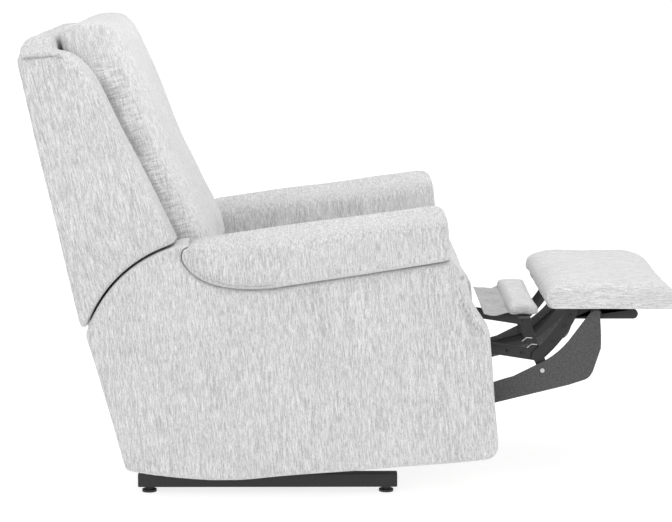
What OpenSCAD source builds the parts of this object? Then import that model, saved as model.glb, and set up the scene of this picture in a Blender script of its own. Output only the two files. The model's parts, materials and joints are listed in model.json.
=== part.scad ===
// Powered recliner armchair: a tilting, upholstered body on a low steel base, a
// reclining back with wings, rolled arms and a folding footrest.
// +X is the front of the chair and +Z is up. Lengths are millimetres.
// The body is drawn level in the plane X-Z, with x = 0 at its tilt pivot and z = 0 at
// the floor, and seated() then leans it back to the pose in which it is used.

/* [Body] */
// Clear width between the arms
seat_width = 540; // [440:10:700]
// Width of one arm
arm_width = 130; // [100:5:180]
// Top of the arm at its front
arm_height = 624; // [580:2:680]
// Fall of the arm's top from front to rear
arm_fall = 28; // [10:2:40]
// Front of the arms, ahead of the tilt pivot
body_front = 508; // [480:2:600]
// Gap from the base rails up to the level body
body_gap = 10; // [8:1:30]
// Thickness of an upholstered outer panel
panel_t = 16; // [8:1:25]
// How far the arm roll stands proud of the side panel
roll_proud = 12; // [4:1:20]
// Angle by which the body leans back
tilt = 4.8; // [0:0.2:6]

/* [Seat] */
// Underside of the seat cushion
seat_bottom = 340; // [330:1:380]
// Top of the seat cushion at its front
seat_top = 496; // [450:1:540]
// Clear gap from the cushions to the arms and wings
side_gap = 11; // [8:1:20]

/* [Back] */
// Top of the wings
wing_top = 1032; // [900:2:1200]
// Crown of the outside back above the wings
back_crown = 34; // [10:1:60]
// Height of the back cushion above the wings
cushion_rise = 70; // [20:2:110]
// Lean of the outside back
back_lean = 7.5; // [4:0.5:12]
// Outside width of the back less that of the arms
back_inset = 40; // [0:2:80]
// Gap between the wings and the arms
wing_gap = 4; // [2:0.5:8]

/* [Footrest] */
// Length of the footrest from heel to toe
pad_length = 310; // [240:5:330]
// Thickness of the footrest pad at its edge
pad_t = 44; // [30:1:55]
// Crown of the footrest pad
pad_crown = 8; // [4:1:20]
// Gap from the pad to the arms
pad_gap = 5; // [3:1:15]
// Depth of the middle pad
mid_pad_depth = 70; // [50:2:80]
// Thickness of the middle pad
mid_pad_t = 25; // [15:1:35]
// Gap from the middle pad to the arms
mid_pad_gap = 85; // [80:5:150]

/* [Mechanism] */
// Thickness of a link plate
link_t = 5; // [3:0.5:5.5]
// Radius of a link pivot
pivot_r = 7; // [5:0.5:8]
// Radial clearance of a running pivot
run_fit = 0.05; // [0.02:0.01:0.1]
// Radius of the drive tube
tube_r = 11; // [9:0.5:12]
// Radius of the crank on the drive tube
crank_r = 70; // [50:1:75]

/* [Base] */
// Length of the base rails
base_length = 586; // [500:2:620]
// Height of the base rails
rail_h = 31; // [20:1:34]
// Width of the base rails
rail_w = 30; // [25:1:34]
// Height of the feet below the rails
foot_h = 12; // [10:1:14]
// Radius of a foot
foot_r = 16.5; // [12:0.5:17]
// Distance between the front and rear feet
foot_span = 536; // [440:2:560]

/* [Hidden] */
$fn = 48;
// Pivots of the level body, as [x, z].
tilt_pivot = [0, 120];
back_pivot = [-103, 297];
heel = [645, 366];
pad_pivot = heel + [112, -31];
link_pivot = [480, 170];
guide_pivot = [620, 248];
cover_screw = [627, 216];
drive_z = 312;
upper_z = 298;
// The pad hangs in this place when it is folded away.
board_t = 12;
folded_heel = [body_front - board_t - pad_t - pad_crown + 1, seat_bottom - 5];
fold_turn = 90 - tilt;
fold_arm = turned(pad_pivot - heel, fold_turn);
fold_shift = folded_heel + fold_arm - pad_pivot;
half_shift = norm(fold_shift) / 2;
across = [fold_shift.y, -fold_shift.x] / norm(fold_shift);
drive_mid = link_pivot + fold_shift / 2;
drive_pivot = drive_mid + across * ((drive_z - drive_mid.y) / across.y);
upper_mid = guide_pivot + fold_shift / 2;
upper_pivot = upper_mid + across * ((upper_z - upper_mid.y) / across.y);
drive_turn = 2 * atan(half_shift / norm(drive_pivot - drive_mid));
upper_turn = 2 * atan(half_shift / norm(upper_pivot - upper_mid));

// Places across the chair, measured from its middle.
arm_in = seat_width / 2;
arm_out = arm_in + arm_width;
panel_out = arm_out - roll_proud;
wing_out = arm_out - back_inset / 2;
wing_in = arm_in - 3;
cushion_half = arm_in - side_gap;
plate_y = arm_in - 20;
plate_t = 6;
cover_y = plate_y - 9;
cover_t = 4;
long_y = cover_y - 1 - link_t;
drive_y = long_y - 3 - link_t;
upper_y = drive_y - 1 - link_t;
rail_depth = 14;
rail_low = -37;
rail_x = [62, 202];
board_low = -13.5;
board_x = 12;
rail_y = upper_y - 1 - rail_depth;
recline_y = arm_in - 9;
recline_t = 5;
base_y = arm_in + 20 - rail_w / 2;
bracket_y = arm_in - 10;

// Outline values of the arm, the seat and the back.
arc_r = arm_height - arm_fall - back_pivot.y;
roll_front = body_front - 74;
roll_under = arm_height - 140;
roll_rear = back_pivot.x - 50;
body_clearance = foot_h + rail_h + body_gap;
body_rear = back_pivot.x - arc_r + 81;
seat_arc_r = seat_top - 19 - back_pivot.y;
back_arc_r = seat_arc_r + 6;
wing_r = arc_r + wing_gap;
rear_low = back_pivot + [16 - wing_r, wing_r - 172];
cushion_top = wing_top + cushion_rise;
shell_t = 62;
back_panel_t = 14;
apron_r = wing_r - 36;
apron_rise = 23;
roll_slope = atan2(arm_fall, roll_front - roll_rear);
front_rail_x = [345, 380];
rear_rail_x = [back_pivot.x + 13, back_pivot.x + 48];
seat_rail_h = 28;
spring_t = 3.5;
foot_x = foot_span / 2;
foot_mid = -6;
stem_r = 5;
bracket_foot = 100;
cross_w = 30;
rail_z = foot_h;
pad_half = arm_in - pad_gap;
pocket_half = plate_y - 3;
mid_pad_half = arm_in - mid_pad_gap;
actuator_z = drive_z - crank_r - 24;
button_r = 9;
button_out = 3;
centre_shift = -(toe_x() + top_x()) / 2;

// ---- functions -------------------------------------------------------------------

// A point turned clockwise about the origin, seen with +X to the right and +Z up.
function turned(p, a) = [p.x * cos(a) + p.y * sin(a), p.y * cos(a) - p.x * sin(a)];
function arc(c, r, a0, a1, n) = [for (i = [0:n]) c + r * dir(a0 + (a1 - a0) * i / n)];
function dir(a) = [cos(a), sin(a)];
// A curve from a to c that is pulled towards b.
function bend(a, b, c, n) =
    [for (i = [0:n]) let (t = i / n) (1 - t) * (1 - t) * a + 2 * t * (1 - t) * b + t * t * c];
// Outline of a strap of the width w along the points p, with round ends.
function strap(p, w) = let (
    last = len(p) - 1,
    a = atan2(normal(p, 0).y, normal(p, 0).x),
    b = atan2(normal(p, last - 1).y, normal(p, last - 1).x)
) concat(
    arc(p[0], w / 2, a, a + 180, 12),
    [for (i = [1:1:last - 1]) p[i] - miter(p, i) * w / 2],
    arc(p[last], w / 2, b + 180, b + 360, 12),
    [for (i = [last - 1:-1:1]) p[i] + miter(p, i) * w / 2]
);
function normal(p, i) = [p[i].y - p[i + 1].y, p[i + 1].x - p[i].x] / norm(p[i + 1] - p[i]);
function miter(p, i) = let (u = normal(p, i - 1), v = normal(p, i)) (u + v) / (1 + u * v);
// X of the outside back's rear line at a height.
function rear_x(z) = rear_low.x - (z - rear_low.y) * tan(back_lean);
// X of the back cushion's rear face at a height.
function frame_x(z) = rear_x(z) + shell_t + (wing_top - z) * 0.045;
// X at rest of the footrest's toe and of the back's rear top corner.
function toe_x() = tilted_x(heel) + pad_length;
function top_x() = tilted_x([rear_x(wing_top), wing_top]);
function tilted_x(p) = turned(p - tilt_pivot, -tilt).x;

// ---- helpers ---------------------------------------------------------------------

// Leans the level body back about its pivot and centres the chair over the origin.
module seated() {
    translate([centre_shift, 0, tilt_pivot.y])
        rotate([0, -tilt, 0])
            translate([-tilt_pivot.x, 0, -tilt_pivot.y])
                children();
}

module on_floor() {
    translate([centre_shift, 0, 0])
        children();
}

// Left is +Y (s = 1) and right is -Y (s = -1).
module side(s) {
    mirror([0, s < 0 ? 1 : 0, 0])
        children();
}

// Gives a profile drawn in X-Z a width across the chair.
module slab(y0, y1) {
    translate([0, y1, 0])
        rotate([90, 0, 0])
            linear_extrude(y1 - y0)
                children();
}

module pin(p, r, y0, y1) {
    translate([p.x, y0, p.y])
        rotate([-90, 0, 0])
            cylinder(r = r, h = y1 - y0);
}

module bar(a, b, w, y0, y1) {
    angle = atan2(b.y - a.y, b.x - a.x);
    pin(a, w / 2, y0, y1);
    pin(b, w / 2, y0, y1);
    translate([a.x, y0, a.y])
        rotate([0, -angle, 0])
            translate([0, 0, -w / 2])
                cube([norm(b - a), y1 - y0, w]);
}

// A wavy wire spring of the length l, laid along +X and centred on y = 0.
module wave_spring(l, half, loops) {
    steps = loops * 8;
    upper = [for (i = [0:steps]) [l * i / steps, half * sin(360 * loops * i / steps) + 2]];
    lower = [for (i = [steps:-1:0]) [l * i / steps, half * sin(360 * loops * i / steps) - 2]];
    linear_extrude(spring_t)
        polygon(concat(upper, lower));
}

// ---- base ------------------------------------------------------------------------

module base_rail(s) {
    color([0.06, 0.06, 0.06])
        on_floor() side(s) difference() {
            translate([foot_mid - base_length / 2, base_y, rail_z])
                cube([base_length, rail_w, rail_h]);
            for (x = [foot_mid - foot_x, foot_mid + foot_x])
                translate([x, base_y + rail_w / 2, rail_z - 1])
                    cylinder(r = stem_r + run_fit, h = rail_h - 4);
        }
}

module base_cross(x) {
    color([0.06, 0.06, 0.06])
        on_floor()
            translate([x, -base_y, rail_z])
                cube([cross_w, 2 * base_y, rail_h - 6]);
}

module tilt_bracket(s) {
    color([0.1, 0.1, 0.1])
        on_floor() side(s) difference() {
            union() {
                bar([0, 58], tilt_pivot, 44, bracket_y, bracket_y + plate_t);
                translate([-bracket_foot / 2, bracket_y, rail_z])
                    cube([bracket_foot, base_y - bracket_y, rail_h - 2]);
            }
            pin(tilt_pivot, 9 + run_fit, bracket_y - 1, bracket_y + plate_t + 1);
        }
}

module foot(sx, s) {
    color([0.05, 0.05, 0.05])
        on_floor() side(s)
            translate([foot_mid + sx * foot_x, base_y + rail_w / 2, 0]) {
                cylinder(r = foot_r, h = 5);
                cylinder(r = 9, h = foot_h - 0.3);
                cylinder(r = stem_r, h = foot_h + rail_h - 8);
            }
}

// ---- seat frame ------------------------------------------------------------------

module side_plate(s) {
    top = seat_bottom - 4;
    color([0.16, 0.16, 0.17])
        seated() side(s) difference() {
            union() {
                slab(plate_y, plate_y + plate_t)
                    polygon([
                        [back_pivot.x - 26, top], [upper_pivot.x + 14, top],
                        [upper_pivot.x + 14, upper_z - 16], [drive_pivot.x + 30, drive_z - 40],
                        [tilt_pivot.x + 60, 250], [tilt_pivot.x + 24, tilt_pivot.y],
                        [tilt_pivot.x + 14, tilt_pivot.y - 20],
                        [tilt_pivot.x - 14, tilt_pivot.y - 20],
                        [tilt_pivot.x - 24, tilt_pivot.y], [tilt_pivot.x - 60, 250],
                        [back_pivot.x - 26, back_pivot.y - 24]
                    ]);
                pin(tilt_pivot, 9, plate_y, bracket_y + plate_t + 2);
                pin(back_pivot, 8, plate_y, recline_y + recline_t + 2);
                pin(upper_pivot, pivot_r, upper_y, plate_y + 1);
            }
            pin(drive_pivot, tube_r + run_fit, plate_y - 1, plate_y + plate_t + 1);
        }
}

module seat_rail(x) {
    color([0.72, 0.58, 0.4])
        seated()
            translate([x[0], -plate_y, seat_bottom - 4 - seat_rail_h])
                cube([x[1] - x[0], 2 * plate_y, seat_rail_h]);
}

module seat_springs() {
    spread = plate_y - 50;
    color([0.45, 0.45, 0.47])
        seated()
            for (i = [-2:2])
                translate([rear_rail_x[0], i * spread / 2, seat_bottom - 4])
                    wave_spring(front_rail_x[1] - rear_rail_x[0], 20, 8);
}

module seat_cushion() {
    low = 180 - asin((seat_bottom - back_pivot.y) / seat_arc_r);
    nose = [body_front - 22, seat_bottom];
    color([0.84, 0.84, 0.84])
        seated()
            slab(-cushion_half, cushion_half)
                polygon(concat(
                    [nose],
                    bend(nose + [0, 50], nose + [3, 112], [body_front - 56, seat_top + 6], 10),
                    [[body_front - 200, seat_top + 8]],
                    arc(back_pivot, seat_arc_r, 80, low, 20)
                ));
}

// ---- arms ------------------------------------------------------------------------

function arm_outline(inset, low) = concat(
    arc(back_pivot, arc_r - inset / 4, 98, 158, 20),
    [[body_rear - 25 + inset, low + 185]],
    bend([body_rear + inset, low + 44], [-200, low + 4], [-43, low], 8),
    bend([body_front - 32, low], [body_front - inset, low], [body_front - inset, low + 36], 6),
    bend([body_front - inset, seat_bottom], [body_front - inset - 30, seat_bottom + 40],
         [roll_front - inset, roll_under + 24], 8),
    [[roll_front - inset, arm_height - 60], [-100, arm_height - 60]]
);

module roll_shape() {
    top = arm_height;
    intersection() {
        slab(arm_in, arm_out)
            polygon(concat(
                bend([roll_rear, arm_height - 64], [roll_rear + 30, roll_under - 4],
                     [roll_rear + 190, roll_under - 4], 10),
                [[roll_front, roll_under + 23]],
                bend([roll_front, top - 40], [roll_front, top], [roll_front - 36, top], 6),
                [[back_pivot.x - 2, top - arm_fall], [roll_rear + 4, top - arm_fall - 16]]
            ));
        translate([roll_front, (arm_in + arm_out) / 2, top + 1])
            rotate([0, 90 - roll_slope, 0])
                rotate([0, 0, 90])
                    translate([0, 0, -800])
                        linear_extrude(1000)
                            polygon(roll_section());
    }
}

// Section across the arm roll: x is across the chair and y is down from its top.
function roll_section() = let (h = arm_width / 2, r = arm_width * 0.38) concat(
    arc([h - r, -r], r, 0, 90, 10),
    arc([r - h, -r], r, 90, 180, 10),
    [[-h, -180], [h, -180]]
);

module arm_roll(s) {
    color([0.82, 0.82, 0.82])
        seated() side(s)
            roll_shape();
}

module arm_part(s, y0, y1) {
    seated() side(s) difference() {
        slab(y0, y1)
            children();
        roll_shape();
    }
}

module side_panel(s) {
    color([0.8, 0.8, 0.8])
        arm_part(s, panel_out - panel_t, panel_out)
            polygon(arm_outline(0, body_clearance));
}

module arm_box(s) {
    color([0.76, 0.7, 0.6])
        arm_part(s, arm_in, panel_out - panel_t)
            polygon(arm_outline(20, body_clearance + 2));
}

module arm_front(s) {
    strip = 19.7;
    low = body_clearance + 40;
    color([0.8, 0.8, 0.8])
        arm_part(s, arm_in, panel_out - panel_t)
            polygon(concat(
                [[body_front, low]],
                bend([body_front, seat_bottom], [body_front - 30, seat_bottom + 40],
                     [roll_front, roll_under + 24], 8),
                [for (i = [8:-1:0])
                    bend([body_front - strip, seat_bottom],
                         [body_front - strip - 30, seat_bottom + 40],
                         [roll_front - strip, roll_under + 24], 8)[i]],
                [[body_front - strip, low]]
            ));
}

module rear_panel() {
    rise = apron_rise + 9;
    low = [body_rear + 5, body_clearance + 50];
    high = back_pivot + [-level_reach(apron_r - 5, rise), rise];
    color([0.8, 0.8, 0.8])
        seated()
            slab(-arm_in + 0.5, arm_in - 0.5)
                polygon([low, high, high + [12, 0], low + [24, 0]]);
}

// ---- power drive and controls ----------------------------------------------------

module actuator_rail() {
    color([0.3, 0.3, 0.31])
        seated()
            translate([-10, -14, actuator_z])
                cube([drive_pivot.x + crank_r + 20, 28, 12]);
}

module actuator_motor() {
    color([0.12, 0.12, 0.13])
        seated() {
            translate([-70, -24, actuator_z - 6])
                cube([60, 48, 44]);
            translate([-40, 0, actuator_z - 70])
                cylinder(r = 22, h = 64);
        }
}

module drive_block() {
    middle = crank_point(0);
    color([0.2, 0.2, 0.22])
        seated() difference() {
            translate([middle.x - 16, -14, actuator_z + 12.3])
                cube([32, 28, 52]);
            translate([middle.x - 17, -4.5, actuator_z + 16])
                cube([34, 9, 60]);
            bar([middle.x, actuator_z + 25], [middle.x, actuator_z + 70], 14, -15, 15);
        }
}

// Centre of the crank's pin when the tube has turned by a from the open pose.
function crank_point(a) = drive_pivot + crank_r * dir(-90 + drive_turn / 2 - a);

module control_plate() {
    color([0.55, 0.55, 0.56])
        seated() side(-1) difference() {
            translate([180, arm_in - 5, 388])
                cube([110, 4.7, 44]);
            for (x = [button_x(0), button_x(1)])
                pin([x, 410], button_r + 0.1, arm_in - 6, arm_in);
        }
}

function button_x(i) = 210 + 50 * i;

module button(i) {
    color([0.15, 0.15, 0.16])
        seated() side(-1)
            pin([button_x(i), 410], button_r, arm_in - 5 - button_out, arm_in - 3.4);
}

module power_inlet() {
    color([0.1, 0.1, 0.1])
        seated() {
            translate([-66, 90, 262])
                cube([34, 44, 30]);
            translate([-80, 112, 277])
                rotate([0, 90, 0])
                    cylinder(r = 10, h = 14);
        }
}

module front_flap() {
    color([0.7, 0.7, 0.7])
        seated()
            slab(-mid_pad_half, mid_pad_half)
                polygon([
                    [body_front + 0.5, seat_bottom + 10], [body_front + 0.5, seat_bottom + 4],
                    [mid_rear().x - 1, mid_rear().y + 6], [mid_rear().x - 1, mid_rear().y + 12]
                ]);
}

// ---- back ------------------------------------------------------------------------

function wing_outline() = concat(
    arc(back_pivot, wing_r, 102, 155, 20),
    [rear_low],
    bend([rear_x(wing_top - 16), wing_top - 16], [rear_x(wing_top), wing_top],
         [rear_x(wing_top) + 16, wing_top], 4),
    bend([rear_x(wing_top) + 86, wing_top], [rear_x(wing_top) + 136, wing_top - 6],
         [rear_x(wing_top) + 168, wing_top - 84], 10)
);

module wing(s) {
    color([0.82, 0.82, 0.82])
        seated() side(s)
            slab(wing_in, wing_out)
                polygon(wing_outline());
}

// The panel ends in an apron that hangs down over the rear panel and swings outside it.
module outside_back() {
    low = rear_low.y + 8;
    high = wing_top - 0.3;
    hem = back_pivot + [-level_reach(apron_r, apron_rise), apron_rise];
    color([0.8, 0.8, 0.8])
        seated()
            slab(-wing_in + 0.3, wing_in - 0.3)
                polygon([
                    [rear_x(low) + 1, low], [rear_x(high) + 1, high],
                    [rear_x(high) + back_panel_t, high], [rear_x(low) + back_panel_t, low],
                    hem, hem - [6, 0]
                ]);
}

// How far a circle of the radius r reaches at a height above its centre.
function level_reach(r, rise) = sqrt(r * r - rise * rise);

module back_top_border() {
    color([0.86, 0.86, 0.86])
        seated() intersection() {
            slab(-wing_out, wing_out)
                polygon(concat(
                    [[rear_x(wing_top) + 12, wing_top]],
                    bend([rear_x(wing_top) + 8, wing_top + 6],
                         [rear_x(wing_top) + 14, wing_top + back_crown],
                         [rear_x(wing_top) + 34, wing_top + back_crown], 6),
                    bend([rear_x(wing_top) + 60, wing_top + back_crown],
                         [rear_x(wing_top) + 76, wing_top + back_crown],
                         [rear_x(wing_top) + 78, wing_top], 6)
                ));
            translate([rear_x(wing_top) - 100, 0, wing_top])
                rotate([90, 0, 90])
                    linear_extrude(300)
                        polygon(concat(
                            bend([wing_out - 1, -1], [wing_out - 16, back_crown],
                                 [wing_out - 100, back_crown], 10),
                            bend([100 - wing_out, back_crown], [16 - wing_out, back_crown],
                                 [1 - wing_out, -1], 10)
                        ));
        }
}

module back_stile(s) {
    z0 = back_pivot.y + 240;
    z1 = wing_top - 8;
    color([0.4, 0.38, 0.34])
        seated() side(s) {
            slab(recline_y - 26, recline_y)
                polygon([
                    [frame_x(z0) - 2, z0], [frame_x(z1) - 2, z1],
                    [frame_x(z1) - 30, z1], [frame_x(z0) - 30, z0]
                ]);
            difference() {
                slab(recline_y, recline_y + recline_t)
                    polygon(concat(
                        arc(back_pivot, 24, -150, 30, 12),
                        [
                            [frame_x(z0) + 44, z0 - 20], [frame_x(z0) + 10, z0 + 60],
                            [frame_x(z0) - 28, z0 + 60], [frame_x(z0) - 20, z0 - 30]
                        ]
                    ));
                pin(back_pivot, 8 + run_fit, recline_y - 1, recline_y + recline_t + 1);
            }
        }
}

module back_rail(z) {
    color([0.72, 0.58, 0.4])
        seated()
            slab(-recline_y + 26, recline_y - 26)
                polygon([
                    [frame_x(z) - 4, z], [frame_x(z + 36) - 4, z + 36],
                    [frame_x(z + 36) - 28, z + 36], [frame_x(z) - 28, z]
                ]);
}

module back_springs() {
    span = 2 * (recline_y - 26);
    z0 = back_pivot.y + 340;
    step = (wing_top - 90 - z0) / 4;
    color([0.45, 0.45, 0.47])
        seated()
            for (i = [0:4])
                translate([frame_x(z0 + i * step) - 10, -span / 2, z0 + i * step])
                    rotate([0, -90 - back_lean, 0])
                        rotate([0, 0, 90])
                            wave_spring(span, 14, 8);
}

module back_cushion() {
    top_front = [rear_x(wing_top) + 198, cushion_top - 14];
    top_rear = [rear_x(wing_top) + 74, cushion_top - 34];
    low_front = back_pivot + back_arc_r * dir(75);
    color([0.86, 0.86, 0.86])
        seated()
            slab(-cushion_half, cushion_half)
                polygon(concat(
                    arc(back_pivot, back_arc_r, 75, 128, 16),
                    [[frame_x(back_pivot.y + 230) + 1, back_pivot.y + 230], top_rear],
                    bend(top_rear + [6, 8], [top_rear.x + 60, cushion_top + 8], top_front, 10),
                    bend(top_front + [10, -20], [top_front.x + 88, cushion_top - 240],
                         low_front + [-30, 120], 10),
                    [low_front + [-12, 50]]
                ));
}

// ---- footrest mechanism ----------------------------------------------------------

module drive_tube() {
    tip = crank_point(0);
    color([0.2, 0.2, 0.21])
        seated() {
            pin(drive_pivot, tube_r, -plate_y - plate_t - 4, plate_y + plate_t + 4);
            difference() {
                bar(drive_pivot, tip, 14, -3, 3);
                pin(drive_pivot, tube_r - 1, -4, 4);
            }
            pin(tip, 5, -12, 12);
        }
}

module drive_link(s) {
    color([0.13, 0.13, 0.14])
        seated() side(s) difference() {
            slab(drive_y, drive_y + link_t)
                polygon(strap([drive_pivot, link_pivot], 32));
            pin(drive_pivot, tube_r, drive_y - 1, drive_y + link_t + 1);
            pin(link_pivot, pivot_r + run_fit, drive_y - 1, drive_y + link_t + 1);
        }
}

module long_link(s) {
    bend_low = [640, 196];
    bend_high = [726, 262];
    color([0.13, 0.13, 0.14])
        seated() side(s) {
            slab(long_y, long_y + link_t)
                polygon(strap([link_pivot, bend_low, bend_high, pad_pivot], 26));
            slab(drive_y, drive_y + link_t) {
                polygon(strap([bend_low, guide_pivot], 24));
                polygon(guide_outline());
            }
            pin(link_pivot, pivot_r, drive_y - 2, long_y + 1);
            pin(pad_pivot, pivot_r, rail_y - 2, long_y + 1);
            pin(bend_low, 6, drive_y + 1, long_y + 1);
        }
}

// The curved guide inside the long link, from the upper link's eye up to the footrest.
function guide_outline() =
    strap(bend(guide_pivot, guide_pivot + [56, 42], guide_pivot + [84, 94], 8), 28);

module cover_plate(s) {
    color([0.33, 0.33, 0.34])
        seated() side(s)
            slab(cover_y, cover_y + cover_t)
                polygon(concat(
                    [[458, 141], [684, 177]],
                    bend([722, 186], [737, 190], [745, 212], 4),
                    bend([763, 255], [767, 285], pad_pivot + [9, 4], 6),
                    bend(pad_pivot + [4, 9], pad_pivot + [-8, 10], pad_pivot + [-20, -4], 4),
                    bend([703, 292], [668, 250], [625, 234], 6),
                    bend([560, 208], [530, 203], [500, 194], 4),
                    [[456, 188]]
                ));
}

module cover_screws() {
    color([0.6, 0.6, 0.6])
        seated()
            for (s = [-1, 1])
                side(s)
                    pin(cover_screw, 5, cover_y + cover_t, cover_y + cover_t + 2);
}

module upper_link(s) {
    color([0.1, 0.1, 0.1])
        seated() side(s) difference() {
            slab(upper_y, upper_y + link_t) {
                polygon(strap([upper_pivot, guide_pivot], 26));
                polygon(strap([guide_pivot, mid_centre() + [0, -26]], 22));
            }
            pin(upper_pivot, pivot_r + run_fit, upper_y - 1, upper_y + link_t + 1);
        }
}

// Rear lower corner and centre of the middle pad, which lies level at rest.
function mid_rear() = heel + turned([-mid_pad_depth - 9, -10 - mid_pad_t], tilt);
function mid_centre() = mid_rear() + turned([mid_pad_depth / 2, mid_pad_t / 2], tilt);

module level(p) {
    translate([p.x, 0, p.y])
        rotate([0, tilt, 0])
            children();
}

module mid_pad_bracket() {
    color([0.1, 0.1, 0.1])
        seated()
            level(mid_rear())
                translate([mid_pad_depth / 2 - 14, -upper_y, -8])
                    cube([28, 2 * upper_y, 7.8]);
}

module mid_pad() {
    color([0.84, 0.84, 0.84])
        seated()
            level(mid_rear())
                slab(-mid_pad_half, mid_pad_half)
                    polygon(concat(
                        [[0, 3], [4, 0], [mid_pad_depth - 4, 0], [mid_pad_depth, 3]],
                        bend([mid_pad_depth, mid_pad_t - 10], [mid_pad_depth, mid_pad_t],
                             [mid_pad_depth - 16, mid_pad_t], 4),
                        bend([16, mid_pad_t], [0, mid_pad_t], [0, mid_pad_t - 10], 4)
                    ));
}

module footrest_rail(s) {
    color([0.1, 0.1, 0.1])
        seated() side(s) difference() {
            union() {
                level(heel) {
                    translate([rail_x[0], rail_y, rail_low])
                        cube([rail_x[1] - rail_x[0], rail_depth, board_low - rail_low]);
                    translate([rail_x[1], rail_y, -26])
                        rotate([-90, 0, 0])
                            cylinder(r = 11, h = rail_depth);
                }
            }
            pin(pad_pivot, pivot_r + run_fit, rail_y - 1, rail_y + rail_depth + 1);
        }
}

module footrest_board() {
    color([0.25, 0.25, 0.25])
        seated()
            level(heel)
                translate([board_x, -rail_y - rail_depth, board_low])
                    cube([pad_length - 2 * board_x, 2 * (rail_y + rail_depth), -board_low - 0.2]);
}

// The pad's cover reaches down round the board, which lies in a pocket under it.
module footrest_pad() {
    color([0.85, 0.85, 0.85])
        seated()
            level(heel) difference() {
                slab(-pad_half, pad_half)
                    polygon(concat(
                        [[0, 0], [6, board_low], [pad_length - 8, board_low], [pad_length, 0]],
                        bend([pad_length - 2, pad_t - 24], [pad_length - 26, pad_t + 4],
                             [pad_length - 80, pad_t + pad_crown], 8),
                        bend([70, pad_t + pad_crown], [10, pad_t + 6], [0, pad_t - 20], 8)
                    ));
                translate([board_x - 1, -pocket_half, board_low - 1])
                    cube([pad_length - 2 * board_x + 2, 2 * pocket_half, 1 - board_low]);
            }
}

base_rail(1);  // base_rail_left
base_rail(-1);  // base_rail_right
base_cross(bracket_foot / 2 + 2);  // base_cross_front
base_cross(foot_mid - base_length / 2 + 10);  // base_cross_rear
tilt_bracket(1);  // tilt_bracket_left
tilt_bracket(-1);  // tilt_bracket_right
foot(1, 1);  // foot_front_left
foot(1, -1);  // foot_front_right
foot(-1, 1);  // foot_rear_left
foot(-1, -1);  // foot_rear_right
side_plate(1);  // side_plate_left
side_plate(-1);  // side_plate_right
seat_rail(front_rail_x);  // seat_rail_front
seat_rail(rear_rail_x);  // seat_rail_rear
seat_springs();
seat_cushion();
side_panel(1);  // side_panel_left
side_panel(-1);  // side_panel_right
arm_box(1);  // arm_box_left
arm_box(-1);  // arm_box_right
arm_front(1);  // arm_front_left
arm_front(-1);  // arm_front_right
arm_roll(1);  // arm_roll_left
arm_roll(-1);  // arm_roll_right
rear_panel();
actuator_rail();
actuator_motor();
control_plate();
power_inlet();
button(0);  // recline_button
button(1);  // return_button
front_flap();
wing(1);  // wing_left
wing(-1);  // wing_right
outside_back();
back_top_border();
back_stile(1);  // back_stile_left
back_stile(-1);  // back_stile_right
back_rail(wing_top - 48);  // back_rail_top
back_rail(back_pivot.y + 250);  // back_rail_bottom
back_springs();
back_cushion();
drive_tube();
drive_link(1);  // drive_link_left
drive_link(-1);  // drive_link_right
drive_block();
long_link(1);  // long_link_left
long_link(-1);  // long_link_right
cover_plate(1);  // cover_plate_left
cover_plate(-1);  // cover_plate_right
cover_screws();
upper_link(1);  // upper_link_left
upper_link(-1);  // upper_link_right
mid_pad_bracket();
mid_pad();
footrest_rail(1);  // footrest_rail_left
footrest_rail(-1);  // footrest_rail_right
footrest_board();
footrest_pad();
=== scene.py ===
# %% [markdown]
# # A powered recliner armchair
# The chair is open: its footrest is out and its body leans back a little on a low black
# base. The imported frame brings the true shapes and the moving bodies. This script gives
# each of them its looks: upholstery with seams and stitches, painted steel with rivets,
# sprung timber inside.

# %% Load the frame
import json
import math

import bmesh
import bpy
import numpy as np
from mathutils import Matrix, Vector
from mathutils.bvhtree import BVHTree

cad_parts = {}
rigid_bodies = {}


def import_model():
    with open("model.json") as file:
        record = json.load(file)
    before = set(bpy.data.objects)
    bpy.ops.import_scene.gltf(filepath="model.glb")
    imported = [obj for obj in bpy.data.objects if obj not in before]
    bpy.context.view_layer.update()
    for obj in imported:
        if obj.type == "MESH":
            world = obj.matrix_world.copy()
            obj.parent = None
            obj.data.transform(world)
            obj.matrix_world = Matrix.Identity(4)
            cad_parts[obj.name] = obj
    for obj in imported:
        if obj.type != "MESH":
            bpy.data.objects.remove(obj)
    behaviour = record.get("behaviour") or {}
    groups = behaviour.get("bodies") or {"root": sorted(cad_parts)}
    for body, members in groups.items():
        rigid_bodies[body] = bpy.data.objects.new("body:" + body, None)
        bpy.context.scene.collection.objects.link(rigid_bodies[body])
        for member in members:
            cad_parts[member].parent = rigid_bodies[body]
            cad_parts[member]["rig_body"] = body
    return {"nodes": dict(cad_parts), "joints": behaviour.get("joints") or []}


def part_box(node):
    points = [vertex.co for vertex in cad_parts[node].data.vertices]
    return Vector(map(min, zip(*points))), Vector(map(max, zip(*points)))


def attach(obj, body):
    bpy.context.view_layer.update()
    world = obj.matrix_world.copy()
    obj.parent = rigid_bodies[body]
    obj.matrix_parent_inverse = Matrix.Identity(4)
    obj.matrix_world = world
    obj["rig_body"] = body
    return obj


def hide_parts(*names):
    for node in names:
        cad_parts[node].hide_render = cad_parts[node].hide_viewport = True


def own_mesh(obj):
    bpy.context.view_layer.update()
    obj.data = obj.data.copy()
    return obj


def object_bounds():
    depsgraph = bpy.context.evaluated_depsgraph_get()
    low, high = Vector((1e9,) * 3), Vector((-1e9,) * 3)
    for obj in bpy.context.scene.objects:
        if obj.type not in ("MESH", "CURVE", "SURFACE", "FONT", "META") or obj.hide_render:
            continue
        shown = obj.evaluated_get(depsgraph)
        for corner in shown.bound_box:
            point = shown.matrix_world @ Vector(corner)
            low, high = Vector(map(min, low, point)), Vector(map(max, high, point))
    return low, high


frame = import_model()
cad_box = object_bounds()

MM = 0.001
nodes = frame["nodes"]

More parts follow.
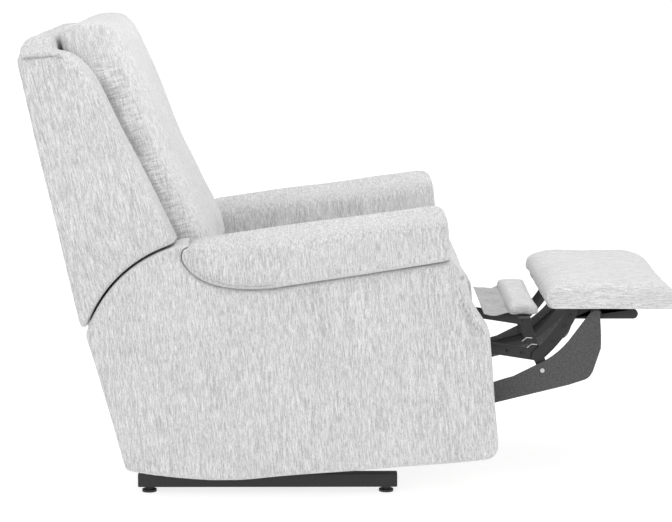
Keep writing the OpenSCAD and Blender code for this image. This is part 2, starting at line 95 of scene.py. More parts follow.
# %% [markdown]
# ## The level chair
# The whole body leans back about its tilt pivot. It is far easier to work on an upright
# chair, where the arms run along X and the panels stand along Z. So every soft part is
# stood level first, worked on there, and then leaned back with one matrix.

# %% Level and leaning
joints = {joint["name"]: joint for joint in frame["joints"]}
TILT_PIVOT = Vector(joints["body_tilt"]["pos_m"])
TILT = math.radians(joints["body_tilt"]["range_deg"][1])
LEAN = (
    Matrix.Translation(TILT_PIVOT)
    @ Matrix.Rotation(-TILT, 4, "Y")
    @ Matrix.Translation((0, 0, -TILT_PIVOT.z))
)
LEVEL = LEAN.inverted()
BACK_PIVOT = LEVEL @ Vector(joints["back_recline"]["pos_m"])
print("tilt", round(math.degrees(TILT), 2), "degrees, back pivot at", tuple(BACK_PIVOT))

# %% [markdown]
# ## Camera, floor and light
# A catalogue view: a long lens from the chair's right side, a little above the seat, and
# a pale floor that runs out of sight. The light is a bright dome with two broad soft
# lamps, one overhead and one beside the camera, because hard lamps would draw shadows
# that such a studio hides. The camera comes first, so that every later step can be judged
# through it.

# %% Camera
CAMERA_TARGET = Vector((-0.044, 0, 0.481))
CAMERA_DISTANCE = 5.2
CAMERA_PITCH = math.radians(9)
CAMERA_HEADING = math.radians(0.3)
camera_data = bpy.data.cameras.new("camera")
camera_data.lens = 117.9
camera_data.sensor_width = 36
camera = bpy.data.objects.new("camera", camera_data)
bpy.context.scene.collection.objects.link(camera)
looking = Vector((
    math.sin(CAMERA_HEADING) * math.cos(CAMERA_PITCH),
    math.cos(CAMERA_HEADING) * math.cos(CAMERA_PITCH),
    -math.sin(CAMERA_PITCH),
))
camera.location = CAMERA_TARGET - looking * CAMERA_DISTANCE
camera.rotation_euler = (math.pi / 2 - CAMERA_PITCH, 0, -CAMERA_HEADING)
bpy.context.scene.camera = camera
bpy.context.scene.view_settings.view_transform = "Standard"
print("camera at", tuple(round(v, 3) for v in camera.location))


# %% Lights and the world
def softbox(name, place, target, size, power):
    """A square lamp at a place, turned to a target."""
    data = bpy.data.lights.new(name, "AREA")
    data.size = size
    data.energy = power
    lamp = bpy.data.objects.new(name, data)
    bpy.context.scene.collection.objects.link(lamp)
    lamp.location = place
    lamp.rotation_euler = (Vector(target) - Vector(place)).to_track_quat("-Z", "Y").to_euler()


softbox("overhead", (0.6, -0.6, 3.2), (0, 0, 0.5), 2.6, 40)
softbox("camera_side", (-2.6, -4.2, 2.2), (0, 0, 0.6), 2.2, 26)

DOME = 0.86
world = bpy.data.worlds.new("studio")
bpy.context.scene.world = world
world.use_nodes = True
world.node_tree.nodes["Background"].inputs["Color"].default_value = (1, 1, 1, 1)
world.node_tree.nodes["Background"].inputs["Strength"].default_value = DOME
print("dome of strength", DOME, "and two soft lamps")

# %% [markdown]
# ## Shader arithmetic
# A weave is mostly sums and products of noises. Written as nodes that is a wide graph,
# written as Python it is a line. `Signal` wraps a socket so that + - * add Math nodes,
# and `Finish` owns one material and adds any other node.


# %% Signals and finishes
class Signal:
    """A shader value that takes part in plain arithmetic."""

    def __init__(self, finish, socket):
        self.finish = finish
        self.socket = socket

    def math(self, operation, other, swap=False, clamp=False):
        values = {0: other, 1: self} if swap else {0: self, 1: other}
        return self.finish.node("Math", {"operation": operation, "use_clamp": clamp}, values)

    def __add__(self, other):
        return self.math("ADD", other)

    def __sub__(self, other):
        return self.math("SUBTRACT", other)

    def __rsub__(self, other):
        return self.math("SUBTRACT", other, swap=True)

    def __mul__(self, other):
        return self.math("MULTIPLY", other)

    __radd__ = __add__
    __rmul__ = __mul__

    def limited(self):
        return self.math("ADD", 0.0, clamp=True)


class Finish:
    """One material and its nodes."""

    def __init__(self, name, **constants):
        self.material = bpy.data.materials.new(name)
        self.material.use_nodes = True
        self.tree = self.material.node_tree
        self.shader = self.tree.nodes["Principled BSDF"]
        for socket, value in constants.items():
            self.shader.inputs[socket.replace("_", " ")].default_value = value

    def feed(self, socket, value):
        if isinstance(value, Signal):
            self.tree.links.new(value.socket, socket)
        else:
            socket.default_value = value

    def node(self, kind, settings=None, values=None, output=0):
        made = self.tree.nodes.new("ShaderNode" + kind)
        for key, value in (settings or {}).items():
            if key == "stops":
                self.set_stops(made.color_ramp, value)
            else:
                setattr(made, key, value)
        for key, value in (values or {}).items():
            self.feed(made.inputs[key], value)
        return Signal(self, made.outputs[output])

    @staticmethod
    def set_stops(ramp, stops):
        while len(ramp.elements) < len(stops):
            ramp.elements.new(1)
        for element, (place, shade) in zip(ramp.elements, stops):
            element.position = place
            element.color = (shade, shade, shade, 1)

    def mix(self, share, low, high):
        """Goes from the colour low to the colour high."""
        return self.node("Mix", {"data_type": "RGBA"}, {0: share, 6: low, 7: high}, output=2)

    def place(self, stretch=(1, 1, 1), turn=(0, 0, 0)):
        """Object coordinates, turned and then stretched."""
        point = {"vector_type": "POINT"}
        coordinates = self.node("TexCoord", output=3)
        turned = self.node("Mapping", point, {"Vector": coordinates, "Rotation": turn})
        return self.node("Mapping", point, {"Vector": turned, "Scale": stretch})

    def noise(self, place, scale, detail=2.0, roughness=0.5):
        return self.node("TexNoise", {"noise_dimensions": "3D"}, {
            "Vector": place, "Scale": scale, "Detail": detail, "Roughness": roughness,
        })

    def ramp(self, value, *stops):
        return self.node("ValToRGB", {"stops": stops}, {"Fac": value})

    def show(self, **links):
        """Links values to the shader's sockets."""
        for socket, value in links.items():
            self.feed(self.shader.inputs[socket.replace("_", " ")], value)
        return self.material

    def bump(self, height, depth, normal=None):
        """Surface relief: depth is in metres for a height from 0 to 1."""
        values = {"Height": height, "Distance": depth, "Strength": 1.0}
        if normal:
            values["Normal"] = normal
        return self.node("Bump", None, values)


def grey(level, warmth=0.0):
    return (level * (1 + warmth), level, level * (1 - warmth), 1)


print("signals ready")

# %% [markdown]
# ## The heathered weave
# The cover is a flat woven chenille: pale yarns of slightly different greys, with slubs
# that run as broken streaks a few millimetres wide and a few centimetres long, all along
# the warp. Noise that is squeezed across the warp and drawn out along it gives exactly
# that. Three sizes of streak, a slow cloudiness and a fine tooth are added together, and
# the same values raise the surface. Where the cloth goes over the top of an arm, its warp
# lies across the chair, so a `crown` attribute on the mesh turns the streaks there. Seams,
# creases and some edges carry an attribute of painted shade that darkens the cloth there,
# and a second attribute turns on short puckers, which raise the surface and also paint
# their own light and shade into the colour.


# %% The weave
def streaks(finish, warp):
    """Slubs drawn out along the warp, in three sizes, from about -1 to 1."""
    slub = finish.noise(finish.place((1, 1, 0.10), warp), 430, 3.0, 0.66)
    yarn = finish.noise(finish.place((1, 1, 0.2), warp), 900, 2.0, 0.6)
    long_streak = finish.noise(finish.place((1, 1, 0.05), warp), 150, 2.0, 0.5)
    return (slub - 0.5) * 2.5 + (yarn - 0.5) * 1.5 + (long_streak - 0.5) * 0.45


def weave(name, warp=(0, 0, 0), level=0.62, contrast=1.0, low=0.64, high=1.26):
    """Upholstery cloth with the warp along Z after the turn given by warp."""
    finish = Finish(name, Specular_IOR_Level=0.25, Sheen_Weight=0.12, Sheen_Roughness=0.5)
    crown = finish.node("Attribute", {"attribute_name": "crown"}, output=2)
    upright = streaks(finish, warp)
    lying = streaks(finish, (math.pi / 2, 0, 0))
    drawn = upright * (1 - crown) + lying * crown
    cloud = finish.noise(finish.place(), 7, 2.0, 0.5)
    tooth = finish.noise(finish.place(), 1500, 2.0, 0.6)
    fleck = finish.noise(finish.place(), 420, 2.0, 0.6)
    seam = finish.node("Attribute", {"attribute_name": "seam"}, output=2)
    gather = finish.node("Attribute", {"attribute_name": "gather"}, output=2)
    pucker = finish.noise(finish.place((0.12, 0.12, 1), warp), 260, 2.0, 0.6)
    # The puckers add painted light and shade to the colour, besides their relief.
    shade = (
        drawn * contrast + (cloud - 0.5) * 0.22 + (fleck - 0.5) * 0.7
        + (pucker - 0.5) * gather * 2.3 + 0.5
    ).limited()
    cloth = finish.mix(shade, grey(level * low), grey(min(level * high, 0.95)))
    # Painted shade: the attribute of seams and creases mixes the cloth towards a dark grey.
    crease_shade = (seam * 0.62).limited()
    cloth = finish.mix(crease_shade, cloth, grey(level * 0.22))
    height = drawn * 0.55 + tooth * 0.25 + pucker * gather * 2.4
    return finish.show(
        Base_Color=cloth,
        Roughness=0.86 - shade * 0.1,
        Normal=finish.bump(height, 0.0009),
    )


WING_LEAN = math.radians(7.5)
cloth_body = weave("cloth_body", (0, TILT, 0))
cloth_back = weave("cloth_back", (0, TILT + WING_LEAN, 0))
# The cushion and footrest cloths are lighter copies of the body's weave, as painted light, and the
# flap's cloth is a darker copy, as painted shade for its place between the seat and the middle
# pad.
lit_cushion_cloth = weave("lit_cushion_cloth", (0, TILT + WING_LEAN, 0), level=0.69, contrast=0.8)
lit_footrest_cloth = weave("lit_footrest_cloth", (0, math.pi / 2, 0), level=0.66, contrast=0.8)
shaded_flap_cloth = weave("shaded_flap_cloth", (0, math.pi / 2, 0), level=0.46, contrast=0.8)
print("five cloths of one weave, laid along different warps")

# %% [markdown]
# ## Paint, steel, timber and plastic
# The mechanism is stamped steel under thick semi-gloss black, which is never quite even:
# broad dull patches, fine orange peel and small scuffs. The cover plate is a moulded
# plastic with a speckle in it. Bare metal is drawn or plated, and timber has long grain.


# %% Metal and plastic
def paint(name, level, roughness, speckle=0.0, scale=220):
    finish = Finish(name, Specular_IOR_Level=0.5)
    patch = finish.noise(finish.place(), 22, 3.0, 0.6)
    peel = finish.noise(finish.place(), 900, 2.0, 0.5)
    fleck = finish.ramp(finish.noise(finish.place(), scale, 3.0, 0.7), (0.42, 0), (0.62, 1))
    scuff = finish.ramp(finish.noise(finish.place((1, 1, 6)), 60, 4.0, 0.75), (0.66, 0), (0.74, 1))
    lift = (fleck * speckle + scuff * 0.22 + (patch - 0.4) * 0.3).limited()
    return finish.show(
        Base_Color=finish.mix(lift, grey(level), grey(level * 2.3 + 0.02)),
        Roughness=(patch - 0.5) * 0.3 + scuff * 0.15 + roughness,
        Normal=finish.bump(peel * 0.6 + fleck * speckle, 0.00012),
    )


def bare_metal(name, level, roughness, draw=(1, 1, 1)):
    finish = Finish(name, Specular_IOR_Level=0.5)
    scratch = finish.noise(finish.place(draw), 700, 3.0, 0.6)
    tarnish = finish.noise(finish.place(), 45, 3.0, 0.6)
    return finish.show(
        Base_Color=finish.mix(tarnish, grey(level * 0.75), grey(level)),
        Metallic=1.0 - tarnish * 0.12,
        Roughness=(scratch - 0.5) * 0.25 + roughness,
        Normal=finish.bump(scratch, 0.00005),
    )


def planed_wood(name, along):
    finish = Finish(name, Specular_IOR_Level=0.3)
    ring = finish.noise(finish.place(along), 60, 4.0, 0.6)
    pore = finish.noise(finish.place(along), 420, 2.0, 0.6)
    wood = finish.mix(ring, (0.42, 0.27, 0.13, 1), (0.74, 0.56, 0.34, 1))
    dark = finish.ramp(pore, (0.3, 1), (0.44, 0))
    return finish.show(
        Base_Color=finish.mix(dark * 0.5, wood, (0.26, 0.15, 0.07, 1)),
        Roughness=0.62 + ring * 0.15,
        Normal=finish.bump(ring + pore * 0.5, 0.0004),
    )


link_paint = paint("link_paint", 0.010, 0.38)
plate_speckle = paint("plate_speckle", 0.042, 0.56, speckle=0.6, scale=330)
rail_paint = paint("rail_paint", 0.010, 0.5)
rivet_black = paint("rivet_black", 0.004, 0.35)
moulded_black = paint("moulded_black", 0.014, 0.55, scale=500)
moulded_grey = paint("moulded_grey", 0.26, 0.5, scale=500)
spring_steel = bare_metal("spring_steel", 0.42, 0.36, (0.1, 1, 0.1))
zinc = bare_metal("zinc", 0.62, 0.3)
timber_across = planed_wood("timber_across", (1, 0.06, 1))
print("finishes for paint, metal, wood and plastic are ready")

# %% [markdown]
# ## Ways of working a part
# A CAD mesh is loose triangles. `level_copy` welds a copy of it, stands it level and
# clears the flat triangles away, which leaves clean faces that bevel well. `settle`
# turns a worked bmesh into a finished object: its place is in its mesh, it rides on the
# body that its node rides on, and it stands for that node.


# %% Copies and finished pieces
def level_copy(*names, upright=True):
    bm = bmesh.new()
    for name in names:
        bm.from_mesh(nodes[name].data)
    if upright:
        bmesh.ops.transform(bm, matrix=LEVEL, verts=bm.verts)
    bmesh.ops.remove_doubles(bm, verts=bm.verts, dist=0.02 * MM)
    bmesh.ops.dissolve_limit(bm, angle_limit=math.radians(0.8), verts=bm.verts, edges=bm.edges)
    return bm


def make_object(name, bm, material, upright=True):
    if upright:
        bmesh.ops.transform(bm, matrix=LEAN, verts=bm.verts)
    mesh = bpy.data.meshes.new(name)
    bm.to_mesh(mesh)
    bm.free()
    for layer in ("custom_normal", "sharp_face"):
        if layer in mesh.attributes:
            mesh.attributes.remove(mesh.attributes[layer])
    mesh.materials.clear()
    mesh.materials.append(material)
    piece = bpy.data.objects.new(name, mesh)
    bpy.context.scene.collection.objects.link(piece)
    return piece


def settle(piece, body, slot, *stands_for):
    """The piece rides on a body and stands for CAD nodes; the slot is not used."""
    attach(piece, body)
    if stands_for:
        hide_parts(*stands_for)
    print(piece.name, "rides on", body, "with", len(piece.data.polygons), "faces")
    return piece


def body_of(node):
    return nodes[node]["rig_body"]


def smooth(piece, angle=180):
    piece.data.shade_smooth()
    if angle < 180:
        piece.data.set_sharp_from_angle(angle=math.radians(angle))


def add_to(bm, part):
    """Joins a second bmesh into the first, and frees it."""
    spare = bpy.data.meshes.new("spare")
    part.to_mesh(spare)
    part.free()
    bm.from_mesh(spare)
    bpy.data.meshes.remove(spare)


# %% Rounding, remeshing and pressing
def round_edges(bm, width, segments, chosen, angle=35):
    """Bevels the sharp edges that chosen(middle, edge) picks."""
    sharp = [
        edge for edge in bm.edges
        if edge.is_manifold and edge.calc_face_angle(0) > math.radians(angle)
        and chosen((edge.verts[0].co + edge.verts[1].co) / 2, edge)
    ]
    bmesh.ops.bevel(
        bm, geom=sharp, offset=width, offset_type="OFFSET", affect="EDGES",
        segments=segments, profile=0.5, material=-1, clamp_overlap=False,
    )


def remesh(bm, voxel, smoothing=4):
    """Gives a closed shape an even skin of small quads."""
    piece = make_object("remeshing", bm, None, upright=False)
    modifier = piece.modifiers.new("skin", "REMESH")
    modifier.mode = "VOXEL"
    modifier.voxel_size = voxel
    evaluated = piece.evaluated_get(bpy.context.evaluated_depsgraph_get())
    made = bmesh.new()
    made.from_mesh(evaluated.to_mesh())
    evaluated.to_mesh_clear()
    bpy.data.objects.remove(piece)
    for _ in range(smoothing):
        bmesh.ops.smooth_vert(
            made, verts=made.verts, factor=0.5, use_axis_x=True, use_axis_y=True, use_axis_z=True
        )
    return made


def points_of(bm):
    return np.array([vert.co for vert in bm.verts], float)


def normals_of(bm):
    bm.normal_update()
    return np.array([vert.normal for vert in bm.verts], float)


def put_points(bm, points):
    for vert, point in zip(bm.verts, points):
        vert.co = point


def distance_to(points, path):
    """How far each point lies from a chain of points."""
    best = np.full(len(points), 1e9)
    for a, b in zip(np.array(path)[:-1], np.array(path)[1:]):
        along = np.clip((points - a) @ (b - a) / max((b - a) @ (b - a), 1e-12), 0, 1)
        best = np.minimum(best, np.linalg.norm(points - a - along[:, None] * (b - a), axis=1))
    return best


def mark(bm, name, amount):
    """Writes a value per vertex for the weave to read."""
    layer = bm.verts.layers.float.get(name) or bm.verts.layers.float.new(name)
    for vert, value in zip(bm.verts, amount):
        vert[layer] = max(vert[layer], float(value))


def press_seams(bm, paths, depth=2.2 * MM, width=5 * MM):
    """Pulls the cloth in along each path and marks painted shade in the fold."""
    points, normals = points_of(bm), normals_of(bm)
    pull = np.zeros(len(points))
    crease_shade = np.zeros(len(points))
    for path in paths:
        away = distance_to(points, path)
        pull = np.maximum(pull, np.exp(-((away / width) ** 2)))
        crease_shade = np.maximum(crease_shade, np.exp(-((away / (0.5 * width)) ** 2)))
    put_points(bm, points - normals * (pull * depth)[:, None])
    mark(bm, "seam", crease_shade)


def ripple(points, size, seed):
    """A smooth unevenness from -1 to 1, the same on every run."""
    total = np.zeros(len(points))
    turn = np.random.default_rng(seed)
    for _ in range(9):
        wave = turn.normal(size=3) / size
        total += np.sin(points @ wave * 2 + turn.uniform(0, 6.28))
    return total / 4.5


def mark_crown(bm):
    """Marks where the cloth lies flat rather than hanging, in the level chair."""
    facing_up = np.abs(normals_of(bm)[:, 2])
    mark(bm, "crown", np.clip((facing_up - 0.45) / 0.35, 0, 1))


def soften(bm, depth, size, seed, stretch=(1, 1, 1)):
    """Lets padding under the cloth rise and fall a little."""
    points, normals = points_of(bm), normals_of(bm)
    put_points(bm, points + normals * (ripple(points * stretch, size, seed) * depth)[:, None])


# %% Outlines and seam lines
def face_loop(name, side):
    """The outline of a node's outer face, level, as points in X and Z."""
    bm = level_copy(name)
    facing = [face for face in bm.faces if face.normal.y * side > 0.95]
    outer = max(facing, key=lambda face: (
        round(face.calc_center_median().y * side, 3), face.calc_area()
    ))
    loop = np.array([(vert.co.x, vert.co.z) for vert in outer.verts])
    bm.free()
    return loop


def inset_loop(loop, distance):
    """The outline moved inwards, corner by corner."""
    before, after = np.roll(loop, 1, 0), np.roll(loop, -1, 0)
    into = (loop - before) / np.linalg.norm(loop - before, axis=1)[:, None]
    out = (after - loop) / np.linalg.norm(after - loop, axis=1)[:, None]
    left = np.stack([-into[:, 1] - out[:, 1], into[:, 0] + out[:, 0]], 1)
    left /= np.maximum(1 + (into * out).sum(1), 0.4)[:, None]
    twice_area = (loop[:, 0] * after[:, 1] - after[:, 0] * loop[:, 1]).sum()
    return loop + left * distance * np.sign(twice_area)


def longest_run(loop, keep):
    """The longest unbroken part of a closed outline that keep(x, z) accepts."""
    good = [keep(x, z) for x, z in loop]
    start = next(i for i in range(len(loop)) if good[i] and not good[i - 1])
    turned = [(start + i) % len(loop) for i in range(len(loop))]
    runs, run = [], []
    for i in turned:
        if good[i]:
            run.append(loop[i])
        elif run:
            runs.append(run)
            run = []
    runs.append(run)
    return max(runs, key=len)


def at_side(run, y):
    return [(x, y, z) for x, z in run]


print("tools ready")

# %% [markdown]
# ## Stitches
# Topstitching is a row of short thread loops lying in the cloth. A drawn line would look
# printed, so each stitch is a real grain of thread: a six-sided rod, laid along the seam
# and dropped onto the surface beneath it.


# %% Stitch rows
STITCH_REACH = 25 * MM
STITCH_SHARE = 0.72


def resample(path, pitch):
    path = np.array(path, float)
    steps = np.linalg.norm(np.diff(path, axis=0), axis=1)
    ends = np.concatenate([[0], np.cumsum(steps)])
    places = np.arange(pitch / 2, ends[-1], pitch)
    return np.stack([np.interp(places, ends, path[:, k]) for k in range(3)], 1)


def stitch_rows(name, onto, rows, body, pitch=6.0 * MM, thick=0.45 * MM):
    """Rows of stitches on a finished piece; the rows are in the level chair."""
    surface = BVHTree.FromObject(onto, bpy.context.evaluated_depsgraph_get())
    bm = bmesh.new()
    for row in rows:
        row = [LEAN @ Vector(point) for point in resample(row, pitch)]
        for here, there in zip(row[:-1], row[1:]):
            middle, normal, _, gap = surface.find_nearest((here + there) / 2)
            if gap > STITCH_REACH:
                continue
            turn = (there - here).to_track_quat("Z", "Y").to_matrix().to_4x4()
            place = Matrix.Translation(middle + normal * thick * 0.4) @ turn
            bmesh.ops.create_cone(
                bm, cap_ends=True, segments=6, radius1=thick, radius2=thick,
                depth=(there - here).length * STITCH_SHARE, matrix=place,
            )
    piece = make_object(name, bm, thread, upright=False)
    smooth(piece)
    return settle(piece, body, "upholstery")


def thread_finish():
    finish = Finish("thread", Specular_IOR_Level=0.3)
    ply = finish.noise(finish.place(), 1400, 2.0, 0.5)
    return finish.show(
        Base_Color=finish.mix(ply, grey(0.24), grey(0.42)),
        Roughness=0.7 + ply * 0.15,
        Normal=finish.bump(ply, 0.0002),
    )


thread = thread_finish()
print("thread ready")

# %% [markdown]
# ## Arms
# Each arm is a timber box under padding. A panel covers its outside and wraps round the
# front into a narrow strip, and a padded roll lies on top. The roll stands proud of the
# panel, so a soft shadow runs under it, deepened by shade painted on the roll above its
# hem, and towards the rear it fades into the panel. Both could be one skin, but the crisp
# line under the roll is where two cloths meet, so they are two pieces: each solid is
# remeshed, eased, and then its seams are pressed in, with painted shade in their creases.

# %% Arm shells
SIDES = {"left": 1, "right": -1}
arm_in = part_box("arm_box_left")[0].y
panel_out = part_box("side_panel_left")[1].y
roll_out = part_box("arm_roll_left")[1].y
wing_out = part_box("wing_left")[1].y
ROLL_FADE = 150 * MM


def smoothstep(values):
    part = np.clip(values, 0, 1)
    return part * part * (3 - 2 * part)


def arm_shell(label, side):
    """The outside panel, drawn through to the seat side and rounded at its front."""
    panel = f"side_panel_{label}"
    bm = level_copy(panel)
    for vert in bm.verts:
        if vert.co.y * side < panel_out - 5 * MM:
            vert.co.y = arm_in * side
    round_edges(bm, 9 * MM, 3, lambda middle, edge: middle.y * side > panel_out - 1 * MM)
    loop, roll_loop = face_loop(panel, side), face_loop(f"arm_roll_{label}", side)
    low, high = loop.min(0), loop.max(0)
    bottom = roll_loop[:, 1].min()
    bm = remesh(bm, 5 * MM, 3)

    def down_front(x, z):
        return x > high[0] - 70 * MM and z > low[1] + 40 * MM and z < bottom + 30 * MM

    seam = at_side(longest_run(inset_loop(loop, 19 * MM), down_front), panel_out * side)
    hem = at_side(longest_run(roll_loop, lambda x, z: z < bottom + 60 * MM), panel_out * side)
    soften(bm, depth=1.3 * MM, size=0.10, seed=3 + side, stretch=(0.7, 1, 1))
    press_seams(bm, [seam], depth=2.0 * MM, width=4 * MM)
    press_seams(bm, [hem], depth=1.0 * MM, width=7 * MM)
    piece = make_object(f"arm_shell_{label}", bm, cloth_body)
    smooth(piece)
    settle(piece, "seat", "upholstery", panel, f"arm_box_{label}", f"arm_front_{label}")
    rows = [
        at_side(longest_run(inset_loop(loop, d * MM), down_front), panel_out * side)
        for d in (11, 27)
    ]
    stitch_rows(f"arm_stitches_{label}", piece, rows, "seat")
    return piece


def arm_pad(label, side):
    """The roll: full at the front, and fading into the panel at its rear."""
    node = f"arm_roll_{label}"
    bm = level_copy(node)
    loop = face_loop(node, side)
    front, rear, bottom = loop[:, 0].max(), loop[:, 0].min(), loop[:, 1].min()
    round_edges(bm, 12 * MM, 3, lambda middle, edge: middle.x > front - 45 * MM)
    round_edges(bm, 11 * MM, 4, lambda middle, edge: middle.y * side > roll_out - 2 * MM)
    bm = remesh(bm, 4.5 * MM, 5)
    points = points_of(bm)
    kept = smoothstep((points[:, 0] - rear + 20 * MM) / ROLL_FADE)
    proud = np.maximum(points[:, 1] * side - panel_out, 0)
    under = np.clip(1 - (points[:, 2] - bottom) / (90 * MM), 0, 1) * (points[:, 0] < front)
    points[:, 1] -= side * proud * (1 - kept)
    put_points(bm, points)
    soften(bm, depth=1.6 * MM, size=0.085, seed=11 + side, stretch=(0.6, 1, 1))

    def under_roll(x, z):
        return z < bottom + 62 * MM and x < front - 14 * MM

    hem = at_side(longest_run(inset_loop(loop, 3 * MM), under_roll), roll_out * side)
    # Painted shade: the roll's cloth darkens near its hem on its lower part, where the shadow
    # under the roll falls.
    away = distance_to(points_of(bm), hem)
    mark(bm, "seam", 0.30 * np.exp(-((away / (16 * MM)) ** 2)) * (under > 0))
    press_seams(bm, [hem], depth=0.8 * MM, width=3.5 * MM)
    mark_crown(bm)
    piece = make_object(f"arm_pad_{label}", bm, cloth_body)
    smooth(piece)
    settle(piece, "seat", "upholstery", node)
    stitched = at_side(longest_run(inset_loop(loop, 8 * MM), under_roll), roll_out * side)
    stitch_rows(f"roll_stitches_{label}", piece, [stitched], "seat")
    return piece


for label, side in SIDES.items():
    arm_shell(label, side)
    arm_pad(label, side)

# %% [markdown]
# ## The shell of the back
# A wing is a thick padded board. A rounded strip of cloth runs along its top and its
# front curve, seamed to the flat side panel. The crowned border joins both wings over the
# top, and the outside back closes the rear. All four are sewn into one cover, so they are
# joined and remeshed as one skin, and the seams between them are pressed in afterwards.


# %% Back shell
SEAM_DROP = 360 * MM
REAR_SEAM_DROP = 550 * MM


def rounded_wing(label, side):
    node = f"wing_{label}"
    bm = level_copy(node)
    loop = face_loop(node, side)
    rear, top = loop[:, 0].min(), loop[:, 1].max()
    reach = np.linalg.norm(loop - [BACK_PIVOT.x, BACK_PIVOT.z], axis=1).min()

    def from_rear(x, z):
        return x - rear - (top - z) * math.tan(WING_LEAN)

    def from_arc(x, z):
        return math.hypot(x - BACK_PIVOT.x, z - BACK_PIVOT.z) - reach

    def on_strip(x, z):
        return from_rear(x, z) > 24 * MM and from_arc(x, z) > 8 * MM

    def on_seam(x, z):
        return from_rear(x, z) > 10 * MM and from_arc(x, z) > 30 * MM and z > top - SEAM_DROP

    def at_front(middle):
        return middle.y * side < wing_out - 40 * MM and on_strip(middle.x, middle.z)

    round_edges(bm, 22 * MM, 5, lambda middle, edge: middle.y * side > wing_out - 1 * MM
                and on_strip(middle.x, middle.z) and middle.z < top - 4 * MM)
    round_edges(bm, 8 * MM, 2, lambda middle, edge: at_front(middle)
                and abs(edge.verts[0].co.y - edge.verts[1].co.y) < MM)
    front_and_top = longest_run(inset_loop(loop, 9 * MM), on_seam)
    return bm, at_side(front_and_top, wing_out * side), rear, top


def back_shell():
    bm = bmesh.new()
    seams = []
    for label, side in SIDES.items():
        board, seam, rear, top = rounded_wing(label, side)
        seams.append(seam)
        add_to(bm, board)
    for node, edge in (("outside_back", 3 * MM), ("back_top_border", 3 * MM)):
        panel = level_copy(node)
        if node == "outside_back":
            for vert in panel.verts:
                vert.co.y *= (arm_in + 4 * MM) / arm_in
        else:
            for vert in panel.verts:
                if vert.co.z < top + 1 * MM:
                    vert.co.z -= 8 * MM
        round_edges(panel, edge, 2, lambda middle, edge: middle.z > top + 2 * MM)
        add_to(bm, panel)
    bm = remesh(bm, 4.5 * MM, 4)
    soften(bm, depth=1.5 * MM, size=0.12, seed=21)
    for side in SIDES.values():
        height = np.linspace(top - REAR_SEAM_DROP, top + 10 * MM, 30)
        seams.append([
            (rear + (top - z) * math.tan(WING_LEAN), (arm_in - 4 * MM) * side, z) for z in height
        ])
    press_seams(bm, seams, depth=2.4 * MM, width=4.5 * MM)
    mark_crown(bm)
    piece = make_object("back_shell", bm, cloth_back)
    smooth(piece)
    return settle(
        piece, "back", "upholstery", "wing_left", "wing_right", "outside_back", "back_top_border"
    )


back_shell()


# %% [markdown]
# ## Lower rear panel
# Below the back, a plain panel closes the rear between the arms. It stays on the seat when
# the back swings over it, so it is a piece of its own.

# %% Lower rear panel
def lower_rear_cover():
    bm = level_copy("rear_panel")
    round_edges(bm, 4 * MM, 3, lambda middle, edge: True)
    bm = remesh(bm, 5 * MM, 3)
    soften(bm, depth=1.0 * MM, size=0.14, seed=32)
    piece = make_object("lower_rear_cover", bm, cloth_body)
    smooth(piece)
    return settle(piece, "seat", "upholstery", "rear_panel")


lower_rear_cover()

# %% [markdown]
# ## Dark sheets in the gaps
# Between each wing and its arm there is a running gap, dark with shade. A near-black sheet
# of cloth on the wing's inner side closes it, as painted shade, or daylight would show
# through the chair.


# %% Gap sheets of painted shade
def gap_shade_sheet(label, side):
    """A thin near-black sector of cloth round the back pivot, on the wing's inner side: painted
    shade for the gap.
    """
    inner, outer = 268 * MM, 322 * MM
    first, last, steps = math.radians(107), math.radians(154), 28
    bm = bmesh.new()
    start = [
        bm.verts.new((
            BACK_PIVOT.x + reach * math.cos(first), side * (arm_in - 3.6 * MM),
            BACK_PIVOT.z + reach * math.sin(first),
        ))
        for reach in (inner, outer)
    ]
    edge = bm.edges.new(start)
    bmesh.ops.spin(
        bm, geom=start + [edge], cent=BACK_PIVOT, axis=(0, -1, 0), angle=last - first,
        steps=steps, use_merge=False, use_duplicate=False,
    )
    bmesh.ops.recalc_face_normals(bm, faces=bm.faces)
    bmesh.ops.solidify(bm, geom=bm.faces, thickness=0.5 * MM)
    piece = make_object(f"gap_shade_sheet_{label}", bm, gap_shade_cloth)
    smooth(piece, 40)
    return settle(piece, "back", "upholstery")


# Painted shade: a near-black copy of the weave for the sheets in the gaps.
gap_shade_cloth = weave("gap_shade_cloth", (0, 0, 0), level=0.03, contrast=0.7)
for label, side in SIDES.items():
    gap_shade_sheet(label, side)

# %% [markdown]
# ## Cushions
# Cushions are sewn bags of foam and fibre, so they are blown up with Blender's cloth
# solver: a welded, evenly meshed copy is given pressure and no gravity, and a cap keeps
# any point from straying far from where the pattern holds it. Seams and gathers come
# after, because a remesh would erase them.


# %% Blowing up a cushion
FILLING_STEPS = 20
FIBRE_PRESSURE = 4


